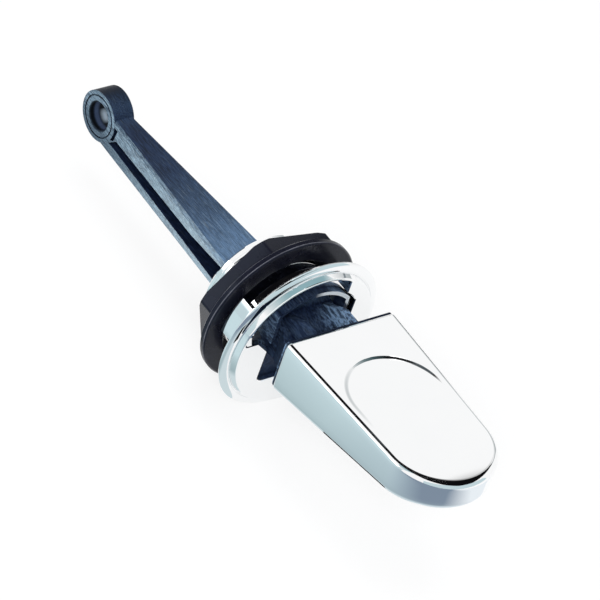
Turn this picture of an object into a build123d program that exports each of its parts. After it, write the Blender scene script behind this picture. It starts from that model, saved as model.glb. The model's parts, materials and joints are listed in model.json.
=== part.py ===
"""Front cistern lever: a plated paddle on a moulded see-saw arm, pivoted in a plated bush with a backnut.

Millimetres. The origin is on the bush's axis at the flange's seat face, which rests on the outside of the
cistern. +X is to the right, +Y goes into the cistern and +Z is up. The lever is drawn in its own planes,
measured from the pivot, and those planes lie at the lever's rest tilt.
"""
import os
from math import acos, atan2, cos, hypot, radians, sin, sqrt, tan

from build123d import *

os.makedirs("parts", exist_ok=True)

# Bush: raised front face and the flange round it
face_radius = 19.0
face_slope = 0.4
face_height = 2.6
face_edge = 0.35
face_wall = 1.4
step_width = 0.35
step_depth = 0.25
flange_band = 2.05
flange_rim = 0.6
flange_crown = 1.1
opening_edge = 0.2

# Bush: spigot, chamber and shank
spigot_radius = 16.2
spigot_length = 4.8
spigot_wall = 1.2
chamber_floor = 0.9
shank_root_radius = 13.6
thread_height = 0.4
shank_end = 19.2
shank_wall = 1.5
shank_lead = 0.6
key_height = 1.7
key_length = 6.3
key_low_angle = 2.0
key_high_angle = 34.5

# Bush: openings in the front face
crescent_rim = 0.7
crescent_depth = 2.1
crescent_end = 8.6
shoulder_height = 3.3
shoulder_reach = 12.9
notch_half_width = 10.5
notch_top = 0.4
notch_drop = 10.5
notch_corner = 2.0
window_half_width = 12.0
window_ledge = 0.2
opening_corner = 0.7

# Pivot
pivot_y = 2.2
pin_radius = 1.5
pin_blind_wall = 0.7
pin_press_clearance = 0.01
pin_running_clearance = 0.05
pin_chamfer = 0.3
rest_tilt = 1.5
swing = 18.0

# Lever: hub that fills the chamber
hub_clearance = 0.4
hub_side_clearance = 0.3
hub_stop_clearance = 0.25
hub_wall = 1.0
hub_drop = 11.0
hub_hollow_drop = 3.0
hub_step = 2.0
hub_step_depth = 2.0
hub_boss_wall = 1.1

# Lever: arm and eye, lengths from the pivot
eye_reach = 78.4
eye_drop = 0.4
eye_radius = 6.5
eye_bore_radius = 3.6
eye_half_width = 2.9
eye_groove_radius = 5.3
eye_groove_width = 0.4
eye_groove_depth = 0.4
eye_mouth = 0.3
arm_root_half_width = 8.7
arm_root_top = 4.0
arm_root_bottom = 4.2
arm_root_edge = 0.9
arm_tip_half_width = 2.85
arm_tip_top = 2.8
arm_tip_bottom = 6.9
arm_tip_edge = 0.5
arm_end_bottom = 6.4
web_half_thickness = 1.1

# Lever: channel in each side of the arm and the pocket beside the eye, heights from the pivot
channel_root = 6.0
channel_shoulder = 20.0
channel_bend = 34.0
channel_end_gap = 8.4
channel_lean = 2.6
channel_root_floor = -2.4
channel_root_roof = 2.5
channel_bend_roof = 0.6
channel_tip_roof = -1.4
channel_tip_floor = -3.9
eye_pocket_depth = 1.2
eye_pocket_reach = 7.8
eye_pocket_lean = 0.6
eye_pocket_top = 1.3
eye_pocket_drop = 2.3
eye_pocket_end = 4.8
eye_pocket_bottom = 3.5

# Lever: neck and plug
neck_half_width = 8.2
neck_flare_start = 5.0
neck_bottom_root = 4.0
neck_bottom_plug = 1.0
neck_floor_root = 7.5
neck_floor_plug = 3.8
rail_half_gap = 5.0
rail_thickness = 1.8
rail_ramp_start = 1.4
rail_ramp_end = 8.3
plug_flange = 0.9
plug_inset = 0.3
plug_clearance = 0.05
plug_length = 16.0
plug_floor = 2.0

# Paddle, lengths from the pivot
paddle_back = 14.7
paddle_back_half_width = 15.7
paddle_tip_radius = 14.2
paddle_length = 52.7
paddle_top = 12.5
paddle_bottom_back = 2.4
paddle_bottom_rise = 6.5
paddle_wall = 1.7
paddle_top_round = 1.3
paddle_bottom_round = 2.4
paddle_back_edge = 0.3
dish_half_width = 12.9
dish_back_gap = 9.9
dish_length = 25.0
dish_depth = 0.6

# Backnut
nut_front = 7.6
nut_flange_radius = 20.9
nut_flange = 1.8
nut_height = 6.8
nut_lip = 0.9
nut_turn = -10.4
nut_corner_round = 0.8
nut_chamfer_width = 1.1
nut_chamfer_angle = 30.0
nut_rim = 0.4
nut_lead = 1.6
nut_clearance = 0.1

# Worked out from the sizes above
face_base_radius = face_radius + face_slope
step_radius = face_base_radius + step_width
flange_radius = step_radius + flange_band
thread_crest_radius = shank_root_radius + thread_height
shank_bore_radius = shank_root_radius - shank_wall
chamber_radius = spigot_radius - spigot_wall
chamber_front = -face_height + face_wall
chamber_back = spigot_length - chamber_floor
crescent_radius = face_radius - crescent_rim
key_radius = spigot_radius + key_height
key_root_radius = shank_root_radius - shank_wall / 2
key_span = key_high_angle - key_low_angle
pin_half_length = spigot_radius - pin_blind_wall
pressed_tilt = swing - rest_tilt
stop_reach = chamber_back - pivot_y - hub_stop_clearance
hub_radius = chamber_radius - hub_clearance
hub_half_width = notch_half_width - hub_side_clearance
hub_front = face_height + pivot_y
hub_back = stop_reach - hub_radius * tan(radians(rest_tilt))
hub_floor = hub_back - hub_wall
hub_boss_radius = pin_radius + pin_running_clearance + hub_boss_wall
window_radius = chamber_radius + window_ledge
rail_top = paddle_top - paddle_wall - plug_clearance
rail_half_outer = rail_half_gap + rail_thickness
cavity_half_width = paddle_tip_radius - paddle_wall
plug_half_width = cavity_half_width - plug_clearance
plug_front = paddle_back - plug_flange
plug_end = paddle_back + plug_length
paddle_tip = paddle_back + paddle_length
paddle_round_centre = paddle_tip - paddle_tip_radius
paddle_straight = paddle_round_centre - paddle_back
dish_back = paddle_back + dish_back_gap
dish_front = dish_back + dish_length
channel_end = eye_reach - channel_end_gap
pocket_start = eye_reach - eye_pocket_reach
nut_back = nut_front + nut_height
nut_corner_radius = nut_flange_radius - nut_lip
nut_chamfer_radius = nut_corner_radius - nut_chamfer_width
nut_corner_chamfer = nut_chamfer_width * tan(radians(nut_chamfer_angle))
nut_bore_radius = thread_crest_radius + nut_clearance

# Taper of the paddle's sides, which run tangent into its round tip
paddle_taper = acos(paddle_tip_radius / hypot(paddle_straight, paddle_back_half_width)) - atan2(
    paddle_straight, paddle_back_half_width
)
side_end_half_width = paddle_tip_radius * cos(paddle_taper)
side_end = paddle_round_centre + paddle_tip_radius * sin(paddle_taper)

# The lever's own planes through the pivot: local Y of lever_top and local X of lever_side run along the arm
# to the eye, and lever_front faces the paddle, so that its offsets count towards the paddle
tilt = radians(-rest_tilt)
pivot = (0, pivot_y, 0)
lever_top = Plane(origin=pivot, x_dir=(1, 0, 0), z_dir=(0, -sin(tilt), cos(tilt)))
lever_side = Plane(origin=pivot, x_dir=(0, cos(tilt), sin(tilt)), z_dir=(1, 0, 0))
lever_front = Plane(origin=pivot, x_dir=(1, 0, 0), z_dir=(0, -cos(tilt), -sin(tilt)))


def circle_height(radius, across):
    """Height on a circle about the axis at a distance across from it."""
    return sqrt(radius**2 - across**2)


def tombstone(half_width, radius, drop):
    """Face with upright sides, a round top about the axis and a flat bottom."""
    with BuildSketch() as outline:
        Circle(radius)
        with Locations((0, -drop)):
            Rectangle(
                2 * half_width,
                2 * radius + drop,
                align=(Align.CENTER, Align.MIN),
                mode=Mode.INTERSECT,
            )
    return outline.sketch


def stop_face(height):
    """Distance along the lever of the hub's lower stop face, upright when the paddle is fully pressed."""
    return (stop_reach + height * sin(radians(pressed_tilt))) / cos(radians(pressed_tilt))


def paddle_underside(along):
    """Height of the paddle's sloped underside at a distance along the lever towards the tip."""
    return -paddle_bottom_back + paddle_bottom_rise * (along - paddle_back) / paddle_length


def neck_floor(along):
    """Height of the neck channel's floor at a distance along the lever towards the tip."""
    fall = (neck_floor_root - neck_floor_plug) / (hub_floor + plug_front)
    return neck_floor_root - fall * (hub_floor + along)


def tongue_underside(along):
    """Height of the plug tongue's underside, which runs along the floor of the paddle's cavity."""
    return paddle_underside(along) + paddle_wall + plug_clearance


# Bezel bush: turned outside, then the keys, the chamber, the bore, the front openings and the pin's seat
with BuildPart() as bezel_bush:
    with BuildSketch(Plane.XY):
        with BuildLine():
            Polyline(
                (0, shank_end),
                (0, -face_height),
                (face_radius - face_edge, -face_height),
                (face_radius, -face_height + face_edge),
                (face_base_radius, -flange_crown),
                (face_base_radius, -flange_crown + step_depth),
                (step_radius, -flange_crown + step_depth),
                (step_radius, -flange_crown),
                (flange_radius - flange_rim, -flange_rim),
                (flange_radius, -flange_rim / 2),
                (flange_radius, 0),
                (spigot_radius, 0),
                (spigot_radius, spigot_length),
                (shank_root_radius, spigot_length),
                (shank_root_radius, shank_end - shank_lead),
                (shank_root_radius - shank_lead, shank_end),
                (0, shank_end),
            )
        make_face()
    revolve(axis=Axis.Y)

    # Keys that stop the bush turning in the cistern's hole
    with BuildSketch(Plane.XZ):
        for key_start in (key_low_angle, 180 - key_high_angle):
            with BuildLine():
                crown = CenterArc((0, 0), key_radius, key_start, key_span)
                root = CenterArc((0, 0), key_root_radius, key_start, key_span)
                Line(crown @ 0, root @ 0)
                Line(crown @ 1, root @ 1)
            make_face()
    extrude(amount=-key_length)

    # Chamber for the hub, and the bore that the arm leaves through
    with BuildSketch(Plane.XZ.offset(-chamber_front)):
        Circle(chamber_radius)
    extrude(amount=chamber_front - chamber_back, mode=Mode.SUBTRACT)
    with BuildSketch(Plane.XZ.offset(-chamber_back)):
        Circle(shank_bore_radius)
    extrude(amount=chamber_back - shank_end, mode=Mode.SUBTRACT)

    # Front opening: the crescent over the hub, the window close round it and the notch that the neck swings in
    crescent_side = circle_height(crescent_radius, shoulder_height)
    window_middle = (crescent_end + window_half_width) / 2
    shoulder_slope = (shoulder_height - notch_top) / (shoulder_reach - notch_half_width)
    with BuildSketch(Plane.XZ.offset(face_height)) as opening:
        with BuildLine():
            ThreePointArc(
                (-crescent_side, shoulder_height),
                (0, crescent_radius),
                (crescent_end, circle_height(crescent_radius, crescent_end)),
            )
            Line(
                (crescent_end, circle_height(crescent_radius, crescent_end)),
                (crescent_end, circle_height(window_radius, crescent_end)),
            )
            ThreePointArc(
                (crescent_end, circle_height(window_radius, crescent_end)),
                (window_middle, circle_height(window_radius, window_middle)),
                (window_half_width, circle_height(window_radius, window_half_width)),
            )
            Polyline(
                (window_half_width, circle_height(window_radius, window_half_width)),
                (window_half_width, notch_top + shoulder_slope * (window_half_width - notch_half_width)),
                (notch_half_width, notch_top),
                (notch_half_width, -notch_drop),
                (-notch_half_width, -notch_drop),
                (-notch_half_width, notch_top),
                (-shoulder_reach, shoulder_height),
                (-crescent_side, shoulder_height),
            )
        make_face()
        fillet(opening.vertices().sort_by(Axis.Y)[2:], opening_corner)
        fillet(opening.vertices().group_by(Axis.Y)[0], notch_corner)
    extrude(amount=-crescent_depth, mode=Mode.SUBTRACT)
    front_face = bezel_bush.faces().sort_by(Axis.Y)[0]
    chamfer(front_face.inner_wires()[0].edges(), opening_edge)

    # Seat of the pivot pin: open on the right, blind on the left
    with BuildSketch(Plane.YZ.offset(-pin_half_length)):
        with Locations((pivot_y, 0)):
            Circle(pin_radius + pin_press_clearance)
    extrude(amount=pin_half_length + key_radius, mode=Mode.SUBTRACT)

bezel_bush.part.label = "bezel_bush"
export_step(bezel_bush.part, "parts/bezel_bush.step")


# Pivot pin across the chamber
with BuildPart() as pivot_pin:
    with BuildSketch(Plane.YZ):
        with Locations((pivot_y, 0)):
            Circle(pin_radius)
    extrude(amount=pin_half_length, both=True)
    chamfer(pivot_pin.edges().filter_by(GeomType.CIRCLE), pin_chamfer)

pivot_pin.part.label = "pivot_pin"
export_step(pivot_pin.part, "parts/pivot_pin.step")


# Hub: a hollow block open to the front, stepped back behind the face below, with a boss round the pin
with BuildPart() as hub:
    with BuildSketch(lever_front.offset(-hub_back)):
        add(tombstone(hub_half_width, hub_radius, hub_drop))
    extrude(amount=hub_back + hub_front)
    with BuildSketch(lever_side):
        with Locations((hub_step_depth - hub_front, hub_step)):
            Rectangle(hub_front, 2 * hub_radius, align=(Align.MAX, Align.MAX))
        Polygon(
            (stop_face(0), 0),
            (stop_face(-hub_radius), -hub_radius),
            (stop_reach + hub_back, -hub_radius),
            (stop_reach + hub_back, 0),
            align=None,
        )
    extrude(amount=hub_radius, both=True, mode=Mode.SUBTRACT)
    with BuildSketch(lever_front.offset(-hub_floor)):
        add(tombstone(hub_half_width - hub_wall, hub_radius - hub_wall, hub_hollow_drop))
    extrude(amount=hub_floor + 2 * hub_front, mode=Mode.SUBTRACT)
    with BuildSketch(lever_side):
        Circle(hub_boss_radius)
    extrude(amount=hub_half_width, both=True)


# Neck: a flared base with two ramped rails on it and an open channel between them
with BuildPart() as neck:
    with BuildSketch(lever_top.offset(-neck_bottom_root)):
        Polygon(
            (neck_half_width, hub_floor),
            (neck_half_width, -neck_flare_start),
            (plug_half_width, -plug_front),
            (-plug_half_width, -plug_front),
            (-neck_half_width, -neck_flare_start),
            (-neck_half_width, hub_floor),
            align=None,
        )
    extrude(amount=neck_bottom_root + rail_top)
    with BuildSketch(lever_side):
        Polygon(
            (hub_floor, -neck_bottom_root),
            (-plug_front, -neck_bottom_plug),
            (-plug_front, -neck_bottom_root),
            align=None,
        )
        Polygon(
            (hub_floor, neck_floor_root),
            (-rail_ramp_start, neck_floor(rail_ramp_start)),
            (-rail_ramp_end, rail_top),
            (hub_floor, rail_top),
            align=None,
        )
    extrude(amount=plug_half_width, both=True, mode=Mode.SUBTRACT)
    for start, width in (
        (-rail_half_gap, 2 * rail_half_gap),
        (rail_half_outer, plug_half_width),
        (-rail_half_outer, -plug_half_width),
    ):
        with BuildSketch(lever_side.offset(start)):
            Polygon(
                (hub_floor, neck_floor_root),
                (-plug_front, neck_floor_plug),
                (-plug_front, rail_top),
                (hub_floor, rail_top),
                align=None,
            )
        extrude(amount=width, mode=Mode.SUBTRACT)


# Plug: the flange that closes the paddle's mouth and the channelled tongue inside it
with BuildPart() as plug:
    with BuildSketch(lever_front.offset(plug_front)) as plug_outline:
        with Locations((0, plug_inset - paddle_bottom_back)):
            Rectangle(
                2 * (paddle_back_half_width - plug_inset),
                paddle_top + paddle_bottom_back - 2 * plug_inset,
                align=(Align.CENTER, Align.MIN),
            )
        fillet(plug_outline.vertices().group_by(Axis.Y)[0], paddle_bottom_round - plug_inset)
        fillet(plug_outline.vertices().group_by(Axis.Y)[-1], paddle_top_round - plug_inset)
    extrude(amount=plug_flange)
    with BuildSketch(lever_side):
        Polygon(
            (-paddle_back, tongue_underside(paddle_back)),
            (-plug_end, tongue_underside(plug_end)),
            (-plug_end, rail_top),
            (-paddle_back, rail_top),
            align=None,
        )
    extrude(amount=plug_half_width, both=True)
    with BuildSketch(lever_side):
        Polygon(
            (-paddle_back, tongue_underside(paddle_back) + plug_floor),
            (-plug_end, tongue_underside(plug_end) + plug_floor),
            (-plug_end, rail_top),
            (-paddle_back, rail_top),
            align=None,
        )
    extrude(amount=plug_half_width - rail_thickness, both=True, mode=Mode.SUBTRACT)


# Arm: a tapered bar thinned to a web by a channel in each side, with the eye on its end
with BuildPart() as arm:
    for along, half_width, top, bottom, edge in (
        (hub_floor, arm_root_half_width, arm_root_top, arm_root_bottom, arm_root_edge),
        (eye_reach - eye_radius, arm_tip_half_width, arm_tip_top, arm_tip_bottom, arm_tip_edge),
        (eye_reach, arm_tip_half_width, arm_tip_top, arm_end_bottom, arm_tip_edge),
    ):
        with BuildSketch(lever_front.offset(-along)) as section:
            with Locations((0, -bottom)):
                Rectangle(2 * half_width, top + bottom, align=(Align.CENTER, Align.MIN))
            chamfer(section.vertices(), edge)
    loft(ruled=True)
    for side in (1, -1):
        with BuildSketch(lever_side.offset(side * web_half_thickness)):
            Polygon(
                (channel_root, channel_root_floor),
                (channel_end + channel_lean, channel_tip_floor),
                (channel_end, channel_tip_roof),
                (channel_bend, channel_bend_roof),
                (channel_shoulder, channel_root_roof),
                (channel_root, channel_root_roof),
                align=None,
            )
        extrude(amount=side * arm_root_half_width, mode=Mode.SUBTRACT)
        with BuildSketch(lever_side.offset(side * (arm_tip_half_width - eye_pocket_depth))):
            Polygon(
                (pocket_start, eye_pocket_top),
                (pocket_start + eye_pocket_lean, -eye_pocket_drop),
                (eye_reach - eye_pocket_end, -eye_pocket_bottom),
                (eye_reach, -eye_pocket_bottom),
                (eye_reach, eye_pocket_top),
                align=None,
            )
        extrude(amount=side * arm_root_half_width, mode=Mode.SUBTRACT)
    with BuildSketch(lever_side):
        with Locations((eye_reach, -eye_drop)):
            Circle(eye_radius)
    extrude(amount=eye_half_width, both=True)
    with BuildSketch(lever_side):
        with Locations((eye_reach, -eye_drop)):
            Circle(eye_bore_radius)
    extrude(amount=eye_half_width, both=True, mode=Mode.SUBTRACT)
    bore_rims = arm.edges().filter_by(GeomType.CIRCLE).group_by(SortBy.RADIUS)[0]
    chamfer(bore_rims, eye_mouth)
    for side in (1, -1):
        with BuildSketch(lever_side.offset(side * eye_half_width)):
            with Locations((eye_reach, -eye_drop)):
                Circle(eye_groove_radius + eye_groove_width / 2)
                Circle(eye_groove_radius - eye_groove_width / 2, mode=Mode.SUBTRACT)
        extrude(amount=-side * eye_groove_depth, mode=Mode.SUBTRACT)


# Lever arm: hub, neck, plug and arm in one moulding, bored for the pin
with BuildPart() as lever_arm:
    add(hub.part)
    add(neck.part)
    add(plug.part)
    add(arm.part)
    with BuildSketch(lever_side):
        Circle(pin_radius + pin_running_clearance)
    extrude(amount=hub_half_width, both=True, mode=Mode.SUBTRACT)

lever_arm.part.label = "lever_arm"
export_step(lever_arm.part, "parts/lever_arm.step")


# Thumb recess of the paddle: deepest at its round back end, running out to nothing towards the tip
with BuildPart() as thumb_recess:
    with BuildSketch(lever_top.offset(paddle_top - dish_depth)):
        with BuildLine():
            ThreePointArc(
                (dish_half_width, -dish_back - dish_half_width),
                (0, -dish_back),
                (-dish_half_width, -dish_back - dish_half_width),
            )
            Polyline(
                (-dish_half_width, -dish_back - dish_half_width),
                (-dish_half_width, -dish_front),
                (dish_half_width, -dish_front),
                (dish_half_width, -dish_back - dish_half_width),
            )
        make_face()
    extrude(amount=2 * dish_depth)
    with BuildSketch(lever_side):
        Polygon(
            (-dish_back, paddle_top - dish_depth),
            (-dish_front, paddle_top),
            (-dish_front, paddle_top - dish_depth),
            align=None,
        )
    extrude(amount=dish_half_width, both=True, mode=Mode.SUBTRACT)


# Paddle: a hollow wedge with a half-round tip, open at its back for the plug
with BuildPart() as paddle:
    with BuildSketch(lever_top.offset(-paddle_bottom_back)):
        with BuildLine():
            ThreePointArc(
                (-side_end_half_width, -side_end),
                (0, -paddle_tip),
                (side_end_half_width, -side_end),
            )
            Polyline(
                (side_end_half_width, -side_end),
                (paddle_back_half_width, -paddle_back),
                (-paddle_back_half_width, -paddle_back),
                (-side_end_half_width, -side_end),
            )
        make_face()
    extrude(amount=paddle_bottom_back + paddle_top)
    with BuildSketch(lever_side):
        Polygon(
            (-paddle_back, paddle_underside(paddle_back)),
            (-paddle_tip, paddle_underside(paddle_tip)),
            (-paddle_tip, paddle_underside(paddle_back)),
            align=None,
        )
    extrude(amount=paddle_back_half_width, both=True, mode=Mode.SUBTRACT)
    top_face = paddle.faces().sort_by(Axis.Z)[-1]
    fillet(top_face.edges().sort_by(Axis.Y)[:-1], paddle_top_round)
    under_face = paddle.faces().sort_by(Axis.Z)[0]
    fillet(under_face.edges().sort_by(Axis.Y)[:-1], paddle_bottom_round)
    with BuildSketch(lever_side):
        Polygon(
            (-paddle_back, paddle_underside(paddle_back) + paddle_wall),
            (-paddle_round_centre, paddle_underside(paddle_round_centre) + paddle_wall),
            (-paddle_round_centre, paddle_top - paddle_wall),
            (-paddle_back, paddle_top - paddle_wall),
            align=None,
        )
    extrude(amount=cavity_half_width, both=True, mode=Mode.SUBTRACT)
    add(thumb_recess.part, mode=Mode.SUBTRACT)
    back_face = paddle.faces().sort_by(Axis.Y)[-1]
    chamfer(back_face.outer_wire().edges(), paddle_back_edge)

paddle.part.label = "paddle"
export_step(paddle.part, "parts/paddle.step")


# Backnut: a hexagon on its own round flange
with BuildPart() as backnut:
    with BuildSketch(Plane.XZ.offset(-nut_front)):
        Circle(nut_flange_radius)
    extrude(amount=-nut_flange)
    chamfer(backnut.edges().filter_by(GeomType.CIRCLE), nut_rim)
    with BuildSketch(Plane.XZ.offset(-nut_front - nut_flange)) as hexagon:
        RegularPolygon(nut_corner_radius, 6, rotation=nut_turn)
        fillet(hexagon.vertices(), nut_corner_round)
    extrude(amount=nut_flange - nut_height)
    with BuildSketch(Plane.XY):
        Polygon(
            (nut_chamfer_radius, nut_back),
            (nut_corner_radius, nut_back),
            (nut_corner_radius, nut_back - nut_corner_chamfer),
            align=None,
        )
    revolve(axis=Axis.Y, mode=Mode.SUBTRACT)
    with BuildSketch(Plane.XZ.offset(-nut_front)):
        Circle(nut_bore_radius)
    extrude(amount=-nut_height, mode=Mode.SUBTRACT)
    bore_mouth = backnut.edges().filter_by(GeomType.CIRCLE).group_by(Axis.Y)[0].sort_by(SortBy.RADIUS)[0]
    chamfer(bore_mouth, nut_lead)

backnut.part.label = "backnut"
export_step(backnut.part, "parts/backnut.step")
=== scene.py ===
"""Looks of a front cistern lever: plated paddle and bush, fibre-filled black lever, satin backnut.

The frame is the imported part's, in metres: +Y goes into the cistern, +Z is up, and the bush's axis is Y.
Sizes and places are written in millimetres, and become metres where a mesh, lamp or camera is made.
"""
import json

import bmesh
import bpy
import numpy as np
from mathutils import Matrix


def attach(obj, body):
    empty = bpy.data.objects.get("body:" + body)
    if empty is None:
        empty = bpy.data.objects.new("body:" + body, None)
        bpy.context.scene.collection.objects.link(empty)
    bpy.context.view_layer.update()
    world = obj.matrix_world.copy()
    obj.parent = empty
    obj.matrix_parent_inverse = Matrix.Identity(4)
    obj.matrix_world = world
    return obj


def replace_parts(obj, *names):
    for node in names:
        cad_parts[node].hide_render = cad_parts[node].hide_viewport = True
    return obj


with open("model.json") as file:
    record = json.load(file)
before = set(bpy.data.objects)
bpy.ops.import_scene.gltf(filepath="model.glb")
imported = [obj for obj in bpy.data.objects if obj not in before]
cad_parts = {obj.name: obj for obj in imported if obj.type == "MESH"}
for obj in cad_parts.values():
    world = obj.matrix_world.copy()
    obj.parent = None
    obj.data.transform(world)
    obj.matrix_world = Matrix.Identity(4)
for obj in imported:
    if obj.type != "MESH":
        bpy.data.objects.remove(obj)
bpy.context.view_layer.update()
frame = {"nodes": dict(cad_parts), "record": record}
nodes = frame["nodes"]
record = frame["record"]
scene = bpy.context.scene
MM = 0.001
WELD = 1e-7
TINY = 1e-20


def named(rows, name):
    """Row of the part's record that has a name."""
    return next(row for row in rows if row["name"] == name)


class Wire:
    """One shader socket in an expression: arithmetic on values adds Math nodes to its tree."""

    def __init__(self, tree, socket=None):
        self.tree = tree
        self.socket = socket

    def node(self, kind, settings=None, sockets=None, output=0):
        """New node of a kind: its settings first, a ramp's stops among them, then its values or links."""
        made = self.tree.nodes.new("ShaderNode" + kind)
        for name, value in (settings or {}).items():
            if name == "stops":
                elements = made.color_ramp.elements
                elements.remove(elements[1])
                for index, (place, colour) in enumerate(value):
                    stop = elements[0] if index == 0 else elements.new(place)
                    stop.position = place
                    stop.color = colour
            else:
                setattr(made, name, value)
        for name, value in (sockets or {}).items():
            if isinstance(value, Wire):
                self.tree.links.new(value.socket, made.inputs[name])
            else:
                made.inputs[name].default_value = value
        return Wire(self.tree, made.outputs[output] if len(made.outputs) else None)

    def math(self, operation, first, second=0.0):
        """Math node's operation on one or two values."""
        return self.node("Math", {"operation": operation}, {0: first, 1: second})

    def clamp(self):
        """This value, held between 0 and 1."""
        return self.node("Math", {"operation": "ADD", "use_clamp": True}, {0: self, 1: 0.0})

    def __add__(self, other):
        return self.math("ADD", self, other)

    def __radd__(self, other):
        return self.math("ADD", other, self)

    def __sub__(self, other):
        return self.math("SUBTRACT", self, other)

    def __rsub__(self, other):
        return self.math("SUBTRACT", other, self)

    def __mul__(self, other):
        return self.math("MULTIPLY", self, other)

    def __rmul__(self, other):
        return self.math("MULTIPLY", other, self)

    def __pow__(self, other):
        return self.math("POWER", self, other)

    def __abs__(self):
        return self.math("ABSOLUTE", self)

    def fade(self, clear, full):
        """Share from 0 where this value is at clear to 1 where it is at full, held beyond both."""
        return ((self - clear) * (1.0 / (full - clear))).clamp()

    def ramp(self, stops):
        """Colour by this value, from stops of a place and a colour, held beyond the first and last."""
        first = stops[0][0]
        last = stops[-1][0]
        shares = [((place - first) / (last - first), colour) for place, colour in stops]
        return self.node("ValToRGB", {"stops": shares}, {0: self.fade(first, last)})

    def graph(self, points):
        """Value by this value, from points of a place and a level, as a ramp of greys."""
        return self.ramp([(place, (level, level, level, 1.0)) for place, level in points])

    def colour_mix(self, low, high):
        """Colour between two others, with this value as the share of the second."""
        return self.node("Mix", {"data_type": "RGBA"}, {0: self, 6: low, 7: high}, output=2)


def new_material(name):
    """Empty node material and the starting wire of its tree."""
    material = bpy.data.materials.new(name)
    material.use_nodes = True
    material.node_tree.nodes.clear()
    return material, Wire(material.node_tree)


def show(start, shader):
    """Link a shader to its material's output."""
    start.node("OutputMaterial", {}, {"Surface": shader})


def object_place(start):
    """Object coordinates, in metres."""
    return start.node("TexCoord", output="Object")


def parts_of(start, vector, axes):
    """Parts of a vector along the axes named."""
    return [start.node("SeparateXYZ", {}, {"Vector": vector}, output=axis) for axis in axes]


def object_millimetres(start, axes="XYZ"):
    """Object coordinates along the axes named, in millimetres."""
    return [(1.0 / MM) * part for part in parts_of(start, object_place(start), axes)]


def object_normal(start, axes="XYZ"):
    """Parts of the surface's normal along the object's axes named."""
    return parts_of(start, start.node("TexCoord", output="Normal"), axes)


def noise(start, scale, detail=3.0, roughness=0.55, stretch=(1.0, 1.0, 1.0)):
    """Noise, about 0.5 in the mean, on object coordinates that are first multiplied along each axis."""
    place = start.node("Mapping", {}, {"Vector": object_place(start), "Scale": stretch})
    sockets = {"Vector": place, "Scale": scale, "Detail": detail, "Roughness": roughness}
    return start.node("TexNoise", {}, sockets)


BUMP_DEPTH = 0.1


def bump(start, strength, height):
    """Normal of a surface with a fine relief."""
    sockets = {"Strength": strength, "Distance": BUMP_DEPTH * MM, "Height": height}
    return start.node("Bump", {}, sockets)


CHROME_HAZY = (0.91, 0.92, 0.925, 1.0)
CHROME_CLEAR = (0.95, 0.955, 0.96, 1.0)


def plating():
    """Bright chrome: a faint haze of handling in the colour and the gloss."""
    material, start = new_material("chrome_plating")
    haze = noise(start, 55.0, detail=4.0)
    sockets = {
        "Base Color": haze.colour_mix(CHROME_HAZY, CHROME_CLEAR),
        "Metallic": 1.0,
        "Roughness": 0.02 + 0.04 * haze,
    }
    show(start, start.node("BsdfPrincipled", {}, sockets))
    return material


# Link eye at rest, and the direction from its axis to the painted glint in its bore
link_eye = named(record["mounts"], "link_eye")
EYE_Y = link_eye["pos_m"][1] / MM
EYE_Z = link_eye["pos_m"][2] / MM
EYE_BORE = link_eye["dims"]["r_mm"]
EYE_HALF = link_eye["dims"]["length_mm"] / 2.0
GLINT_Y = 0.607
GLINT_Z = -0.794

# Painted sheen along the arm's top: place along Y, and the share of sheen
ARM_SHEEN_SHARE = [(18.0, 0.80), (28.0, 0.46), (40.0, 0.22), (55.0, 0.05), (70.0, 0.02), (77.0, 0.10), (83.0, 0.02)]

# Colours of the lever's plastic
BODY_DARK = (0.003, 0.005, 0.014, 1.0)
BODY_STREAK = (0.011, 0.021, 0.055, 1.0)
ARM_PAINTED_SHEEN = (0.20, 0.34, 0.54, 1.0)
HUB_PAINTED_SHEEN = (0.27, 0.43, 0.67, 1.0)
TOP_FLECK = (0.45, 0.58, 0.68, 1.0)
WALL_DARK = (0.03, 0.05, 0.08, 1.0)
WALL_SHEEN_STREAK = (0.20, 0.30, 0.38, 1.0)
WALL_PAINTED_SHEEN = (0.55, 0.68, 0.75, 1.0)
WALL_FLECK = (0.55, 0.65, 0.7, 1.0)
WALL_SHADE = (0.015, 0.03, 0.05, 1.0)
RIM_PAINTED_HIGHLIGHT = (0.72, 0.79, 0.84, 1.0)
PAINTED_SHADE_BLACK = (0.002, 0.003, 0.005, 1.0)
BORE_PAINTED_LIT_BAND = (0.05, 0.075, 0.14, 1.0)
BORE_PAINTED_GLINT = (0.46, 0.57, 0.68, 1.0)
FIBRE_SHEEN = (0.6, 0.78, 1.0, 1.0)


def arm_wall_sheen(y, z, streak, fleck):
    """Colour of the arm's side walls: painted sheen in streaks, paler towards the bush, flecks, and painted
    shade at the low end.
    """
    sheen_streaks = streak.colour_mix(WALL_DARK, WALL_SHEEN_STREAK)
    sheen_towards_bush = y.fade(75.0, -91.67).colour_mix(sheen_streaks, WALL_PAINTED_SHEEN)
    flecked = (0.6 * fleck).colour_mix(sheen_towards_bush, WALL_FLECK)
    low_end = y.fade(50.0, 66.67) * z.fade(-2.0, -5.33)
    return (0.5 * low_end).colour_mix(flecked, WALL_SHADE)


def bore_painted_light(x, from_eye_y, from_eye_z, from_eye, around):
    """Colour around the link eye, with a painted lit band in its bore and a painted glint deeper in."""
    inside = from_eye.fade(EYE_BORE + 0.2, EYE_BORE - 0.05)
    into_bore = x + EYE_HALF
    ring = into_bore.fade(0.75, 1.375) * into_bore.fade(2.77, 2.0)
    towards_glint = (GLINT_Y * from_eye_y + GLINT_Z * from_eye_z) * (1.0 / EYE_BORE)
    glint = towards_glint.fade(0.843, 0.986) * into_bore.fade(2.5, 3.75) * into_bore.fade(5.2, 4.2)
    # Painted light in the bore: a lit band, then a glint deeper in
    ringed = (inside * ring).colour_mix(around, BORE_PAINTED_LIT_BAND)
    return (inside * glint).colour_mix(ringed, BORE_PAINTED_GLINT)


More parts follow.
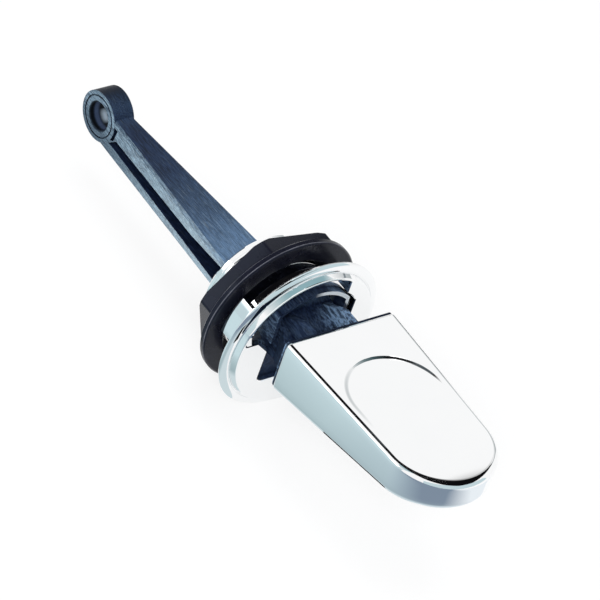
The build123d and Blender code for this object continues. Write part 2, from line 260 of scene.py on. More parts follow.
def fibre_plastic():
    """Fibre-filled black moulding: fine lengthwise flow lines, pale flecks, and painted sheen in streaks on
    the side walls.

    The floors of the side channels, the eye's bore and the outer lip of the plug are painted black as shade.
    The arm's top has painted sheen, palest at the bush, and is darkened at the eye. The hub has painted blue
    sheen, in wrinkles, away from the middle plane, and its front rim has a painted highlight on the right.
    The bore has a painted lit band and a painted glint.
    """
    material, start = new_material("fibre_filled_plastic")
    x, y, z = object_millimetres(start)
    facing_x, facing_y, facing_z = object_normal(start)
    leftward = facing_x.fade(0.0, -1.0)
    sideways = (facing_x * facing_x).clamp()

    # Marks in the skin
    flow = noise(start, 5200.0, roughness=0.65, stretch=(1.0, 0.05, 1.0))
    cloud = noise(start, 140.0, roughness=0.5, stretch=(1.0, 0.35, 1.0))
    grain = noise(start, 4200.0, detail=2.0, roughness=0.6, stretch=(1.0, 0.5, 1.0))
    strand = noise(start, 2600.0, detail=2.0, roughness=0.5, stretch=(1.0, 0.07, 1.0))
    crease = noise(start, 650.0, detail=4.0, roughness=0.62, stretch=(1.0, 0.35, 1.0))
    streak = (4.5 * (flow - 0.5) + (cloud - 0.5) + 0.45).clamp()
    fibre = strand.fade(0.58, 0.723)
    fleck = grain.fade(0.58, 0.747)
    wrinkle = abs(crease - 0.5).fade(0.0714, 0.0)

    # Places on the lever, as shares
    hub = y.fade(6.0, 1.0)
    arm = 1.0 - hub
    plug = y.fade(-10.0, -12.0)
    skin = abs(x).fade(1.571, 3.0) * abs(x).fade(12.5, 11.5)
    above_wall = (z + 0.026 * y).fade(0.5, 1.5)
    right_rail = x.fade(2.0, 6.0) * x.fade(9.0, 8.0) * (0.4 + 0.6 * leftward)
    left_cheek = x.fade(-10.0, -12.5) * leftward
    hub_radius = (x * x + z * z) ** 0.5
    hub_rim = facing_y.fade(-0.8, -1.0) * hub_radius.fade(12.8, 13.3) * (1.0 - plug) * hub
    right_rim_highlight = hub_rim * x.fade(-1.0, 1.5)
    eye_rim = y.fade(77.0, 82.0) * (1.0 - sideways)
    from_eye_y = y - EYE_Y
    from_eye_z = z - EYE_Z
    from_eye = (from_eye_y * from_eye_y + from_eye_z * from_eye_z) ** 0.5
    bore = from_eye.fade(EYE_BORE + 0.5, EYE_BORE - 0.5)

    # Painted sheen on the arm's top, by place along Y, and on the hub, stronger on faces turned left
    arm_sheen = facing_z.clamp() * y.graph(ARM_SHEEN_SHARE) * above_wall * arm
    hub_sheen = hub * (1.0 - plug) * (y.fade(1.0, -2.333) * (0.06 + right_rail) + 3.0 * left_cheek)
    flecked = ((0.5 * fleck + 0.5 * fibre) * (0.04 + 0.7 * (arm_sheen + hub_sheen).clamp())).clamp()

    # Colours, each laid over the one before
    body = streak.colour_mix(BODY_DARK, BODY_STREAK)
    # Painted sheen laid over the body in streaks: on the arm's top, then on the hub in its wrinkles
    arm_top = (arm_sheen * (0.5 + 0.5 * streak)).colour_mix(body, ARM_PAINTED_SHEEN)
    hub_top = (hub_sheen * (0.05 + 0.35 * streak + 1.1 * wrinkle)).colour_mix(arm_top, HUB_PAINTED_SHEEN)
    top = flecked.colour_mix(hub_top, TOP_FLECK)
    # Painted highlight on the right of the hub's front rim
    rim_highlight = right_rim_highlight.colour_mix(top, RIM_PAINTED_HIGHLIGHT)
    # Painted sheen on the arm's walls that face sideways
    moulded = (sideways * skin * arm).colour_mix(rim_highlight, arm_wall_sheen(y, z, streak, fleck))
    # Painted shade: black on the floors of the side channels, in the eye's bore and on the plug's outer lip;
    # the top by the eye is darkened too
    black = (sideways * (1.0 - skin) * arm + bore + 0.75 * eye_rim + 0.7 * plug).clamp()
    bored = black.colour_mix(moulded, PAINTED_SHADE_BLACK)
    sockets = {
        "Base Color": bore_painted_light(x, from_eye_y, from_eye_z, from_eye, bored),
        "Roughness": 0.3 + 0.2 * streak + 0.1 * grain,
        "Specular IOR Level": 0.08,
        "Specular Tint": FIBRE_SHEEN,
        "Normal": bump(start, 0.3, 0.6 * flow + 0.4 * grain),
    }
    show(start, start.node("BsdfPrincipled", {}, sockets))
    return material


NUT_DARK = (0.0025, 0.0027, 0.006, 1.0)
NUT_CLOUD = (0.008, 0.009, 0.018, 1.0)
NUT_PAINTED_HIGHLIGHT = (0.3, 0.31, 0.36, 1.0)
NUT_SHEEN = (0.72, 0.82, 1.0, 1.0)


def nut_plastic():
    """Satin black moulding with a blue cast, a fine even grain and painted highlights on the sloping edges of
    its flange rim.
    """
    material, start = new_material("satin_nut_plastic")
    x, z = object_millimetres(start, "XZ")
    (facing_y,) = object_normal(start, "Y")
    radius = (x * x + z * z) ** 0.5
    level = facing_y * facing_y
    sloping = 4.0 * level * (1.0 - level)
    cloud = noise(start, 160.0)
    grain = noise(start, 3000.0, detail=2.0)
    # Painted highlight on the sloping faces at the rim of the flange, broken by the cloud
    rim_highlight = radius.fade(20.7, 21.033) * sloping * cloud.fade(0.25, 0.667)
    sockets = {
        "Base Color": rim_highlight.colour_mix(cloud.colour_mix(NUT_DARK, NUT_CLOUD), NUT_PAINTED_HIGHLIGHT),
        "Roughness": 0.2 + 0.14 * cloud,
        "Specular IOR Level": 0.17,
        "Specular Tint": NUT_SHEEN,
        "Normal": bump(start, 0.06, grain),
    }
    show(start, start.node("BsdfPrincipled", {}, sockets))
    return material


STEEL_DARK = (0.42, 0.42, 0.43, 1.0)
STEEL_BRIGHT = (0.62, 0.62, 0.63, 1.0)


def drawn_steel():
    """Drawn pin: fine scratches along its length."""
    material, start = new_material("drawn_steel")
    scratch = noise(start, 2500.0, roughness=0.6, stretch=(0.05, 1.0, 1.0))
    sockets = {
        "Base Color": scratch.colour_mix(STEEL_DARK, STEEL_BRIGHT),
        "Metallic": 1.0,
        "Roughness": 0.25 + 0.2 * scratch,
    }
    show(start, start.node("BsdfPrincipled", {}, sockets))
    return material


MATERIALS = {
    "plating": plating(),
    "fibre_plastic": fibre_plastic(),
    "nut_plastic": nut_plastic(),
    "steel": drawn_steel(),
}


def weld(mesh):
    """Join the points of a mesh that coincide, and shade it smooth."""
    joined = bmesh.new()
    joined.from_mesh(mesh)
    bmesh.ops.remove_doubles(joined, verts=joined.verts, dist=WELD)
    joined.to_mesh(mesh)
    joined.free()
    mesh.polygons.foreach_set("use_smooth", np.ones(len(mesh.polygons), bool))
    mesh.update()


def add_piece(name, mesh, body, slot):
    """Object of a finished mesh, on its body and in its material slot."""
    mesh.materials.clear()
    mesh.materials.append(MATERIALS[slot])
    piece = bpy.data.objects.new(name, mesh)
    scene.collection.objects.link(piece)
    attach(piece, body)
    return piece


def grid_piece(name, points, body, slot, wrap_columns=False, caps=()):
    """Smooth mesh of a grid of points (rows, columns, 3) in metres, with quads between neighbouring points.

    Columns close on themselves where wrap_columns is set, caps are loops of point numbers closed by one
    face each, and points that coincide become one.
    """
    rows, columns = points.shape[:2]
    number = np.arange(rows * columns).reshape(rows, columns)
    if wrap_columns:
        number = np.hstack([number, number[:, :1]])
    quads = np.stack(
        [number[:-1, :-1], number[:-1, 1:], number[1:, 1:], number[1:, :-1]], axis=-1
    ).reshape(-1, 4)
    mesh = bpy.data.meshes.new(name)
    mesh.from_pydata(points.reshape(-1, 3), [], [*quads.tolist(), *caps])
    weld(mesh)
    return add_piece(name, mesh, body, slot)


# Lever: place of the pivot, and the tilt at rest as in the part
PIVOT_Y = named(record["behaviour"]["joints"], "lever_pivot")["pos_m"][1] / MM
REST_TILT = np.radians(-1.5)


def from_lever(across, along, height):
    """Points in metres from millimetres across, along and above the lever at rest, from the pivot."""
    y = PIVOT_Y + along * np.cos(REST_TILT) - height * np.sin(REST_TILT)
    z = along * np.sin(REST_TILT) + height * np.cos(REST_TILT)
    return np.stack([across, y, z], axis=-1) * MM


def smooth_step(value):
    """Share from 0 to 1 that leaves and arrives level."""
    held = np.clip(value, 0.0, 1.0)
    return held * held * (3.0 - 2.0 * held)


# Paddle, from the pivot along the lever
PADDLE_BACK = 14.7
PADDLE_BACK_HALF = 15.7
PADDLE_TIP_RADIUS = 14.2
PADDLE_TIP = 67.4
PADDLE_TOP = 12.5
PADDLE_UNDER_BACK = -2.4
PADDLE_UNDER_TIP = 4.1
PADDLE_TOP_ROUND = 1.3
PADDLE_TIP_ROUND = 1.9
PADDLE_UNDER_ROUND = 2.4
PADDLE_SEAM = 0.05
RECESS_HALF = 12.9
RECESS_BACK = 24.6
RECESS_LENGTH = 25.0
RECESS_DEPTH = 0.34
RECESS_WALL = 1.3

# Paddle's sides and tip, worked out: centre of the tip, length and taper of a side
TIP_CENTRE = PADDLE_TIP - PADDLE_TIP_RADIUS
SIDE_LENGTH = TIP_CENTRE - PADDLE_BACK
SIDE_SPAN = np.hypot(SIDE_LENGTH, PADDLE_BACK_HALF)
SIDE_TAPER = np.arccos(PADDLE_TIP_RADIUS / SIDE_SPAN) - np.arctan2(SIDE_LENGTH, PADDLE_BACK_HALF)

# Paddle's grid: shares of a side with the steps between them, closest at the recess's wall, and other steps
RECESS_SHARE = (RECESS_BACK - PADDLE_BACK) / SIDE_LENGTH
RECESS_WALL_SHARE = 2.0 * RECESS_WALL / SIDE_LENGTH
SIDE_SHARES = [0.0, RECESS_SHARE - 0.01, RECESS_SHARE + RECESS_WALL_SHARE, 0.62, 1.0]
SIDE_STEPS = [30, 28, 70, 40]
TIP_STEPS = 141
FACE_STEPS = 96
TOP_ROUND_STEPS = 21
WALL_STEPS = 7
UNDER_ROUND_STEPS = 15
UNDER_STEPS = 9
SIDE = np.concatenate([
    np.linspace(first, last, steps, endpoint=False)
    for first, last, steps in zip(SIDE_SHARES[:-1], SIDE_SHARES[1:], SIDE_STEPS)
])
TURN = np.linspace(-np.pi / 2 + SIDE_TAPER, np.pi / 2 - SIDE_TAPER, TIP_STEPS)
COLUMNS = 2 * len(SIDE) + len(TURN)


def paddle_side(inset, share):
    """Across and along on a straight side, drawn in by an inset, at a share of the way to the tip."""
    radius = PADDLE_TIP_RADIUS - inset
    foot = PADDLE_BACK_HALF - inset / np.cos(SIDE_TAPER)
    reach = TIP_CENTRE + radius * np.sin(SIDE_TAPER) - PADDLE_BACK
    return foot + (radius * np.cos(SIDE_TAPER) - foot) * share, PADDLE_BACK + reach * share


def paddle_outline(inset):
    """Across and along of the U of the outline, drawn in by insets of one row or more.

    The right side runs towards the tip, an arc goes round the tip, and the left side runs back. Along is
    counted towards the tip.
    """
    inset = np.broadcast_to(inset, (len(inset), COLUMNS))
    right, tip, left = np.split(inset, [len(SIDE), len(SIDE) + len(TURN)], axis=1)
    right_across, right_along = paddle_side(right, SIDE)
    left_across, left_along = paddle_side(left, SIDE[::-1])
    radius = PADDLE_TIP_RADIUS - tip
    across = np.hstack([right_across, -radius * np.sin(TURN), -left_across])
    along = np.hstack([right_along, TIP_CENTRE + radius * np.cos(TURN), left_along])
    return across, along


def paddle_underside(along):
    """Height of the underside, a straight rise from the back to the tip."""
    share = (along - PADDLE_BACK) / (PADDLE_TIP - PADDLE_BACK)
    return PADDLE_UNDER_BACK + (PADDLE_UNDER_TIP - PADDLE_UNDER_BACK) * share


def thumb_face(across, along):
    """Height of the thumb face.

    The recess lowers the face by a depth that runs out towards the tip, times a smooth step of the distance
    inside a U-shaped line: a half circle at the back, and straight sides.
    """
    round_centre = RECESS_BACK + RECESS_HALF
    reach = np.where(along < round_centre, np.hypot(across, along - round_centre), np.abs(across))
    fade = 1.0 - smooth_step((along - RECESS_BACK) / RECESS_LENGTH)
    inside = smooth_step((RECESS_HALF - reach) / RECESS_WALL)
    return PADDLE_TOP - RECESS_DEPTH * fade * inside


def paddle_skin():
    """Plated paddle as one skin, a profile carried along the U of its outline.

    A point of the skin is a place along the outline and a place down the profile. The profile goes from the
    middle of the thumb face outwards to a quarter round, a little larger at the tip, then down the side wall,
    round a larger quarter round and back in to the middle of the underside.
    """
    tip_share = np.concatenate([0.0 * SIDE, np.cos(TURN) ** 2, 0.0 * SIDE])
    top_round = PADDLE_TOP_ROUND + (PADDLE_TIP_ROUND - PADDLE_TOP_ROUND) * tip_share
    innermost = PADDLE_TIP_RADIUS - PADDLE_SEAM
    face_share = np.linspace(0.0, 1.0, FACE_STEPS, endpoint=False)[:, None]
    top_angle = np.linspace(0.0, np.pi / 2, TOP_ROUND_STEPS)[:, None]
    wall_share = np.linspace(0.0, 1.0, WALL_STEPS)[1:-1, None]
    under_angle = np.linspace(0.0, np.pi / 2, UNDER_ROUND_STEPS)[:, None]

    middle = paddle_outline(np.array([[innermost]]))[1]
    face = paddle_outline(innermost + (top_round - innermost) * face_share)
    top = paddle_outline(top_round * (1.0 - np.sin(top_angle)))
    wall = paddle_outline(0.0 * wall_share)
    under = paddle_outline(PADDLE_UNDER_ROUND * (1.0 - np.cos(under_angle)))
    base = paddle_outline(np.linspace(PADDLE_UNDER_ROUND, innermost, UNDER_STEPS)[1:, None])

    wall_top = PADDLE_TOP - top_round
    wall_foot = paddle_underside(wall[1]) + PADDLE_UNDER_ROUND
    bands = [
        (0.0 * middle, middle, thumb_face(0.0 * middle, middle)),
        (*face, thumb_face(*face)),
        (*top, PADDLE_TOP - top_round * (1.0 - np.cos(top_angle))),
        (*wall, wall_top + (wall_foot - wall_top) * wall_share),
        (*under, paddle_underside(under[1]) + PADDLE_UNDER_ROUND * (1.0 - np.sin(under_angle))),
        (*base, paddle_underside(base[1])),
        (0.0 * middle, middle, paddle_underside(middle)),
    ]
    across, along, height = (np.vstack(parts) for parts in zip(*bands))
    row_start = np.arange(len(across)) * COLUMNS
    back = [*row_start.tolist(), *(row_start[::-1] + COLUMNS - 1).tolist()]
    points = from_lever(across, -along, height)
    return grid_piece("paddle_skin", points, "lever", "plating", caps=[back])


paddle = paddle_skin()
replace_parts(paddle, "paddle")


# Thread on the shank: radii, pitch and reach along Y, and its ridge as shares of the pitch from its middle
THREAD_ROOT = 13.55
THREAD_CREST = 14.0
THREAD_PITCH = 1.8
THREAD_START = 8.2
THREAD_END = 18.4
RIDGE_FOOT = 0.46
RIDGE_FLAT = 0.14
RUN_OUT_TURNS = 0.5
STEPS_PER_TURN = 96


def turned_points(radius, y, angle):
    """Points at radii and places along the Y axis, turned about it by angles."""
    return np.stack(np.broadcast_arrays(radius * np.cos(angle), y, radius * np.sin(angle)), axis=-1)


def thread_ridge():
    """Helical ridge on the shank: a trapezium carried along a helix, sinking to the root at both ends."""
    turns = (THREAD_END - THREAD_START) / THREAD_PITCH - 1.0
    angle = np.linspace(0.0, 2.0 * np.pi * turns, int(turns * STEPS_PER_TURN))[:, None]
    share = angle / angle[-1]
    rise = smooth_step(np.minimum(share, 1.0 - share) * turns / RUN_OUT_TURNS)
    offset = np.array([-RIDGE_FOOT, -RIDGE_FLAT, RIDGE_FLAT, RIDGE_FOOT]) * THREAD_PITCH
    level = np.array([0.0, 1.0, 1.0, 0.0]) * (THREAD_CREST - THREAD_ROOT)
    middle = THREAD_START + THREAD_PITCH * (0.5 + angle / (2.0 * np.pi))
    points = turned_points(THREAD_ROOT + rise * level, middle + offset, angle)
    last = 4 * (len(angle) - 1)
    ends = [[0, 1, 2, 3], [last + 3, last + 2, last + 1, last]]
    return grid_piece("thread_ridge", points * MM, "bush", "plating", wrap_columns=True, caps=ends)


thread_ridge()

# Flange of the bush: points of its profile are a radius and a place along Y
FLANGE_RADIUS = 21.79
CORNER_BLEND = 0.03
FACE_EDGE = [(18.65, -2.6), (18.88, -2.6), (19.0, -2.25)]
CONE_FOOT = (19.4, -1.1)
GROOVE_FLOOR = -0.85
CROWN_FOOT = (19.75, -1.08)
CROWN_OUT = (FLANGE_RADIUS, -0.25)
CROWN_LEAN = np.radians([12.0, 54.0])
FLANGE_EDGE = [(FLANGE_RADIUS, -0.15), (FLANGE_RADIUS, -CORNER_BLEND), (FLANGE_RADIUS, 0.0)]
RING_INSIDE = [(21.63, -0.004), (21.49, -0.14), (19.6, -0.4), (18.8, -0.8), (18.5, -2.3)]
BEND_STEPS = 13
CROWN_STEPS = 25
RING_STEPS = 360


def flange_ring():
    """Rounded front of the bush's flange: a closed profile turned about the Y axis.

    The profile runs from the front face round a small quadratic bend, down a cone, across a step and over a
    crown that is an arc between two leans, and comes back inside the solid.
    """
    share = np.linspace(0.0, 1.0, BEND_STEPS)[:, None]
    first, pull, last = (np.array(point) for point in FACE_EDGE)
    bend = first * (1.0 - share) ** 2 + pull * 2.0 * share * (1.0 - share) + last * share**2
    lean = np.linspace(*CROWN_LEAN, CROWN_STEPS)[:, None]
    arc = np.hstack([np.sin(lean), -np.cos(lean)])
    fit = (arc - arc[0]) / (arc[-1] - arc[0])
    crown = np.array(CROWN_FOOT) + fit * (np.array(CROWN_OUT) - np.array(CROWN_FOOT))
    corner_radius, corner_y = CONE_FOOT
    step_radius, step_y = CROWN_FOOT
    profile = np.vstack([
        bend,
        [(corner_radius - CORNER_BLEND / 3.0, corner_y - CORNER_BLEND), CONE_FOOT],
        [(corner_radius, corner_y + CORNER_BLEND), (corner_radius, GROOVE_FLOOR - CORNER_BLEND)],
        [(corner_radius + CORNER_BLEND, GROOVE_FLOOR), (step_radius - CORNER_BLEND, GROOVE_FLOOR)],
        [(step_radius, GROOVE_FLOOR - CORNER_BLEND), (step_radius, step_y + CORNER_BLEND)],
        crown,
        FLANGE_EDGE,
        RING_INSIDE,
        FACE_EDGE[:1],
    ])
    angle = np.linspace(0.0, 2.0 * np.pi, RING_STEPS, endpoint=False)
    points = turned_points(profile[:, :1], profile[:, 1:], angle)
    return grid_piece("flange_ring", points * MM, "bush", "plating", wrap_columns=True)


flange_ring()

# The bush and the nut are shown by copies whose turned faces are shaded smooth
TURNED_NODES = ("bezel_bush", "backnut")
SMOOTH_LIMIT = np.cos(np.radians(25.0))
TURNED_TWIST = 0.12
TURNED_SPAN = 0.25
RING_COVER = 0.08
COVER_MARGIN = 0.1
BODIES = record["behaviour"]["bodies"]


def mesh_points(mesh):
    """Points of a mesh, one to a row, in metres."""
    points = np.empty(3 * len(mesh.vertices), np.float32)
    mesh.vertices.foreach_get("co", points)
    return points.reshape(-1, 3)


def outward(places):
    """Unit directions from the Y axis to places."""
    flat = places * np.array([1.0, 0.0, 1.0])
    return flat / np.maximum(np.linalg.norm(flat, axis=-1, keepdims=True), TINY)


def turned_normals(mesh):
    """Corner normals of triangles, row by row, with the faces turned about the Y axis shaded smooth.

    A face counts as turned where its normal has hardly any part round the axis and it spans a small angle.
    Its normal then has an outward and a lengthwise part, and each corner takes the outward part along its
    own radius. The two parts are averaged, by area, over the turned faces at the corner that lie within a
    limiting angle. For that the turned corners are sorted by point, and each is paired with all those at
    its point.
    """
    faces = np.empty(3 * len(mesh.polygons), np.int32)
    mesh.loops.foreach_get("vertex_index", faces)
    faces = faces.reshape(-1, 3)
    points = mesh_points(mesh).astype(float)
    corners = points[faces]
    across = np.cross(corners[:, 1] - corners[:, 0], corners[:, 2] - corners[:, 0])
    area = np.linalg.norm(across, axis=1)
    normal = across / np.maximum(area, TINY)[:, None]

    middle = outward(outward(corners).sum(axis=1))
    profile = np.stack([(normal * middle).sum(axis=1), normal[:, 1]], axis=1)
    length = np.linalg.norm(profile, axis=1)
    span = (outward(corners) * middle[:, None, :]).sum(axis=2).min(axis=1)
    turned = (length > np.sqrt(1.0 - TURNED_TWIST**2)) & (span > np.cos(TURNED_SPAN))
    profile /= np.maximum(length, TINY)[:, None]

    corner = np.flatnonzero(np.repeat(turned, 3))
    corner = corner[np.argsort(faces.ravel()[corner], kind="stable")]
    point = faces.ravel()[corner]
    face = corner // 3
    first, group, sizes = np.unique(point, return_index=True, return_inverse=True, return_counts=True)[1:]
    partners = sizes[group]
    own = np.repeat(np.arange(len(corner)), partners)
    rank = np.arange(len(own)) - np.repeat(np.cumsum(partners) - partners, partners)
    other = first[group][own] + rank
    near = (profile[face[own]] * profile[face[other]]).sum(axis=1) > SMOOTH_LIMIT
    mean = np.zeros((len(corner), 2))
    np.add.at(mean, own[near], (profile * area[:, None])[face[other[near]]])

    result = np.repeat(normal, 3, axis=0)
    result[corner] = mean[:, :1] * outward(points[point]) + mean[:, 1:] * np.array([0.0, 1.0, 0.0])
    return result / np.linalg.norm(result, axis=1, keepdims=True)


def draw_in(mesh):
    """Draw the bush's flange in under the ring that covers it."""
    points = mesh_points(mesh)
    radius = np.hypot(points[:, 0], points[:, 2])
    margin = COVER_MARGIN * MM
    covered = (radius > FACE_EDGE[0][0] * MM + margin) & (points[:, 1] < margin)
    points[covered] *= np.where([1, 0, 1], (1.0 - RING_COVER * MM / radius[covered])[:, None], 1.0)
    points[covered & (points[:, 1] < -margin), 1] += RING_COVER * MM
    mesh.vertices.foreach_set("co", points.ravel())
    mesh.update()


def turned_copy(solid, slot):
    """Copy of a solid's mesh, its points joined and its turned faces shaded smooth, shown in its place."""
    mesh = nodes[solid].data.copy()
    if mesh.has_custom_normals:
        mesh.attributes.remove(mesh.attributes["custom_normal"])
    weld(mesh)
    if solid == "bezel_bush":
        draw_in(mesh)
    mesh.normals_split_custom_set(turned_normals(mesh))
    body = next(name for name, members in BODIES.items() if solid in members)
    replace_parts(add_piece(solid + "_finish", mesh, body, slot), solid)


# Finish of each solid: the bush and nut have copies, the paddle has its skin, the others show as packed
for item in record["subparts"]:
    if item["node"] in TURNED_NODES:
        turned_copy(item["node"], item["material_slot"])
    elif item["node"] != "paddle":
        shown = nodes[item["node"]].data.materials
        shown.clear()
        shown.append(MATERIALS[item["material_slot"]])


# Stage: pale floor, white background, soft lamps, and cards that only the chrome's reflections see
FLOOR_Z = -22.2
FLOOR_REACH = 3000.0
WHITE = (1.0, 1.0, 1.0, 1.0)
FLOOR_PALE = (0.86, 0.87, 0.88, 1.0)
BLACK = (0.004, 0.004, 0.005, 1.0)
DIM = (0.2, 0.23, 0.25, 1.0)
GREY = (0.42, 0.46, 0.47, 1.0)
SLATE = (0.07, 0.085, 0.095, 1.0)
PALE_TEAL = (0.56, 0.69, 0.73, 1.0)
GREY_TEAL = (0.26, 0.42, 0.46, 1.0)


def stage_face(name, corners, paint):
    """One flat face with its corners in millimetres."""
    mesh = bpy.data.meshes.new(name)
    mesh.from_pydata(np.array(corners, float) * MM, [], [range(len(corners))])
    mesh.materials.append(paint)
    card = bpy.data.objects.new(name, mesh)
    scene.collection.objects.link(card)
    return card


def level_corners(outline, height):
    """Corners of an outline in the floor plan, at a height."""
    return [(x, y, height) for x, y in outline]


def rectangle(left, front, right, back):
    """Outline of a rectangle in the floor plan."""
    return [(left, front), (right, front), (right, back), (left, back)]


def background_rays(start, camera=1.0, metal=1.0):
    """Share of the white background that camera rays see, and that glossy and transmission rays see."""
    direct, glossy, through = (
        start.node("LightPath", output=kind)
        for kind in ("Is Camera Ray", "Is Glossy Ray", "Is Transmission Ray")
    )
    return (camera * direct + metal * (glossy + through)).clamp()


def glow(start, colour):
    """Even glow of a colour, as bright as it is written."""
    return start.node("Emission", {}, {"Color": colour, "Strength": 1.0})


def floor_paint():
    """Pale floor that shows as white background with the object's shadow kept in it."""
    material, start = new_material("pale_floor")
    lit = start.node("BsdfDiffuse", {}, {"Color": FLOOR_PALE})
    share = background_rays(start, camera=0.8, metal=0.75)
    show(start, start.node("MixShader", {}, {0: share, 1: lit, 2: glow(start, WHITE)}))
    return material


def card_paint(name, colour, fades):
    """Glowing card of a colour, which fades in along each axis named, from clear to full."""
    material, start = new_material(name)
    share = 1.0
    for axis, (clear, full) in fades.items():
        (along,) = object_millimetres(start, axis)
        share = share * along.fade(clear, full)
    nothing = start.node("BsdfTransparent")
    show(start, start.node("MixShader", {}, {0: share, 1: nothing, 2: glow(start, colour)}))
    return material


def reflected_card(name, corners, paint):
    """Card that only reflections see."""
    card = stage_face(name, corners, paint)
    card.visible_camera = False
    card.visible_diffuse = False
    card.visible_shadow = False
    card.visible_transmission = False
    card.visible_volume_scatter = False


stage_face(
    "floor",
    level_corners(rectangle(-FLOOR_REACH, -FLOOR_REACH, FLOOR_REACH, FLOOR_REACH), FLOOR_Z),
    floor_paint(),
)

# Outlines of the dark cards, which draw the dark lines on the paddle's rounds, its recess and the flange
DARK_BACK = [(-93, 103), (-93, 30), (-20, 30), (-14, 55), (86, 55), (86, 103)]
DARK_SHOULDER = [(-14, 55), (-20, 30), (-10, -8), (40, -8), (48, 6), (86, 6), (86, 55)]
DARK_RECESS = [(0, -11), (88, -11), (88, -38), (31, -39), (18, -36), (8, -30), (1, -20)]
DARK_TIP = [
    (-4, -36), (-3, -41), (-1, -46), (1, -50), (5, -53), (10, -54.5), (15.5, -54.5),
    (20, -54), (24, -52.5), (29, -51.5), (34, -52), (33.5, -56), (30, -64), (26, -74),
    (22, -86), (5, -92), (-10, -82), (-17, -68), (-19, -57), (-21, -47), (-24, -36),
]
DARK_RIM = [
    (58, -53), (65, -51), (86, -41), (110, -26), (138, -3), (212, 75),
    (260, 105), (160, -8), (118, -32), (90, -47), (66, -60), (58, -62),
]
DARK_GAP = [
    (-70, 30), (-40, 15), (-30, 13), (25, 13), (50, 25), (90, 50), (80, 60),
    (46, 38), (20, 28), (0, 25), (-17, 26), (-32, 31), (-70, 42),
]

# Level cards: name, outline, height, colour and fades
LEVEL_CARDS = [
    ("dark_back", DARK_BACK, 180.0, BLACK, {"X": (86.0, 60.0)}),
    ("dark_shoulder", DARK_SHOULDER, 180.0, SLATE, {"X": (86.0, 58.0)}),
    ("dark_rim", DARK_RIM, 80.2, DIM, {}),
    ("dark_gap", DARK_GAP, 40.0, BLACK, {}),
    ("dark_under", rectangle(-19, -46, -12, -24), -12.0, BLACK, {}),
    ("dark_recess", DARK_RECESS, 80.0, BLACK, {"X": (85.0, 30.0), "Y": (-11.0, -13.5)}),
    ("dark_tip", DARK_TIP, 35.0, BLACK, {}),
    ("grey_overhead", rectangle(-60, -36, 220, 3), 181.0, GREY_TEAL, {"X": (220.0, 110.0)}),
    ("grey_overhead_left", rectangle(-300, -60, -60, 3), 181.0, GREY_TEAL, {"X": (-300.0, -60.0)}),
]
for name, outline, height, colour, fades in LEVEL_CARDS:
    paint = card_paint(name + "_card", colour, fades)
    reflected_card(name, level_corners(outline, height), paint)

# Upright cards: name, two places in the floor plan, bottom and top, colour and fades
UPRIGHT_CARDS = [
    ("dark_right", (265, 96), (265, 140), (-20, 60), BLACK, {"Y": (96.0, 106.0)}),
    ("grey_right", (290, 10), (290, 250), (60, 300), GREY, {"Z": (300.0, 60.0)}),
    ("pale_front", (-400, -400), (600, -400), (FLOOR_Z, 350), PALE_TEAL, {}),
    ("pale_left", (-450, -60), (-450, 600), (FLOOR_Z, 340), PALE_TEAL, {"Z": (340.0, 100.0)}),
]
for name, near, far, (bottom, top), colour, fades in UPRIGHT_CARDS:
    paint = card_paint(name + "_card", colour, fades)
    reflected_card(name, [(*near, bottom), (*far, bottom), (*far, top), (*near, top)], paint)

# Card on the floor: its outline, the centre of the paddle's tip, and colours by the distance from the paddle
FLOOR_CARD = [(-450, 300), (-26, 300), (-26, 4), (-12, 2), (-12, -66), (60, -66), (60, -380), (-450, -380)]
FLOOR_CARD_LIFT = 0.2
TIP_CENTRE_Y = PIVOT_Y - TIP_CENTRE
BESIDE = [
    (22.0, (0.62, 0.72, 0.75, 1.0)),
    (27.0, (0.36, 0.47, 0.50, 1.0)),
    (34.0, (0.42, 0.54, 0.57, 1.0)),
    (50.0, (0.60, 0.75, 0.79, 1.0)),
]
AHEAD = [
    (25.0, (0.62, 0.72, 0.78, 1.0)),
    (38.0, (0.28, 0.35, 0.42, 1.0)),
    (50.0, (0.22, 0.28, 0.36, 1.0)),
]
RIGHT_OF_PADDLE = (0.86, 0.91, 0.95, 1.0)


def floor_card_paint():
    """Card on the floor: bands by the distance from the paddle, a band of painted shade beside it, bluer
    ahead of it and pale on its right.
    """
    material, start = new_material("floor_card")
    x, y = object_millimetres(start, "XY")
    past_tip = start.math("MAXIMUM", TIP_CENTRE_Y - y, 0.0)
    reach = (x * x + past_tip * past_tip) ** 0.5
    ahead = y.fade(-12.0, -87.0)
    right = x.fade(-6.52, 29.71)
    left_shade = ahead.colour_mix(reach.ramp(BESIDE), reach.ramp(AHEAD))
    show(start, glow(start, right.colour_mix(left_shade, RIGHT_OF_PADDLE)))
    return material


reflected_card("floor_card", level_corners(FLOOR_CARD, FLOOR_Z + FLOOR_CARD_LIFT), floor_card_paint())

# World: an even light that shows as white
WORLD_LIGHT = 0.55
world = bpy.data.worlds.new("studio_world")
scene.world = world
world.use_nodes = True
world.node_tree.nodes.clear()
sky = Wire(world.node_tree)
strength = WORLD_LIGHT + (1.0 - WORLD_LIGHT) * background_rays(sky)
background = sky.node("Background", {}, {"Color": WHITE, "Strength": strength})
sky.node("OutputWorld", {}, {"Surface": background})


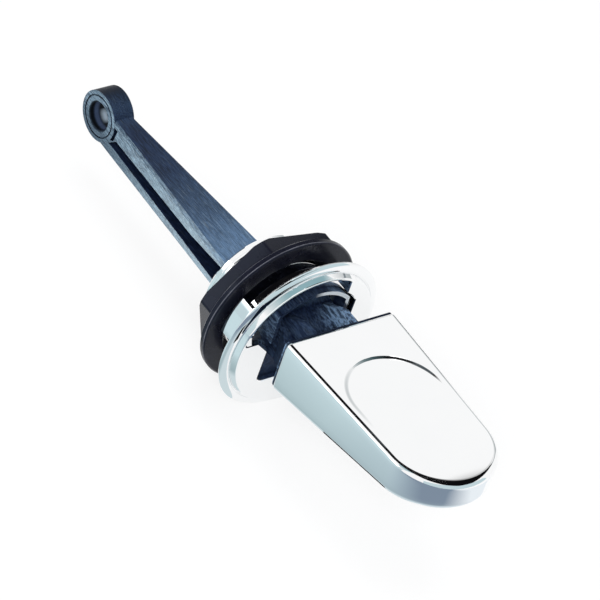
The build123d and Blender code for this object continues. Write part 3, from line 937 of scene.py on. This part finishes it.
def aimed(place, aim, roll=0.0):
    """Matrix of a lamp or camera at a place, looking at a point and rolled about its line of sight."""
    back = np.subtract(place, aim)
    back = back / np.linalg.norm(back)
    right = np.cross((0.0, 0.0, 1.0), back)
    right /= np.linalg.norm(right)
    up = np.cross(back, right)
    turn = np.eye(4)
    turn[:3, 0] = right * np.cos(roll) + up * np.sin(roll)
    turn[:3, 1] = up * np.cos(roll) - right * np.sin(roll)
    turn[:3, 2] = back
    turn[:3, 3] = np.array(place) * MM
    return Matrix(turn)


LAMP_AIM = (0.0, 10.0, 0.0)


def soft_lamp(name, place, size, power):
    """Square area lamp of a size, aimed at the bush."""
    data = bpy.data.lights.new(name, "AREA")
    data.shape = "SQUARE"
    data.size = size * MM
    data.energy = power
    lamp = bpy.data.objects.new(name, data)
    lamp.matrix_world = aimed(place, LAMP_AIM)
    scene.collection.objects.link(lamp)
    return lamp


soft_lamp("lamp_left", (-900.0, 350.0, 350.0), 500.0, 4.0)
soft_lamp("lamp_top", (100.0, 200.0, 1600.0), 1000.0, 10.0)
soft_lamp("lamp_front", (-600.0, -550.0, 700.0), 300.0, 6.0).visible_glossy = False

# Camera at the photo's viewing angle: the point it looks at, and its distance, bearing, height and roll
CAMERA_AIM = (-0.014, 2.737, 8.039)
CAMERA_DISTANCE = 1150.0
CAMERA_BEARING = np.radians(-138.821)
CAMERA_ELEVATION = np.radians(40.747)
CAMERA_ROLL = np.radians(20.631)
CAMERA_LENS = 300.0
CAMERA_SENSOR = 36.0
camera_data = bpy.data.cameras.new("camera")
camera_data.lens = CAMERA_LENS
camera_data.sensor_width = CAMERA_SENSOR
camera_data.clip_start = 0.01
camera_data.clip_end = 50.0
camera = bpy.data.objects.new("camera", camera_data)
scene.collection.objects.link(camera)
towards_camera = np.array([
    np.cos(CAMERA_ELEVATION) * np.cos(CAMERA_BEARING),
    np.cos(CAMERA_ELEVATION) * np.sin(CAMERA_BEARING),
    np.sin(CAMERA_ELEVATION),
])
camera.matrix_world = aimed(CAMERA_AIM + CAMERA_DISTANCE * towards_camera, CAMERA_AIM, CAMERA_ROLL)
scene.camera = camera
scene.view_settings.view_transform = "Standard"
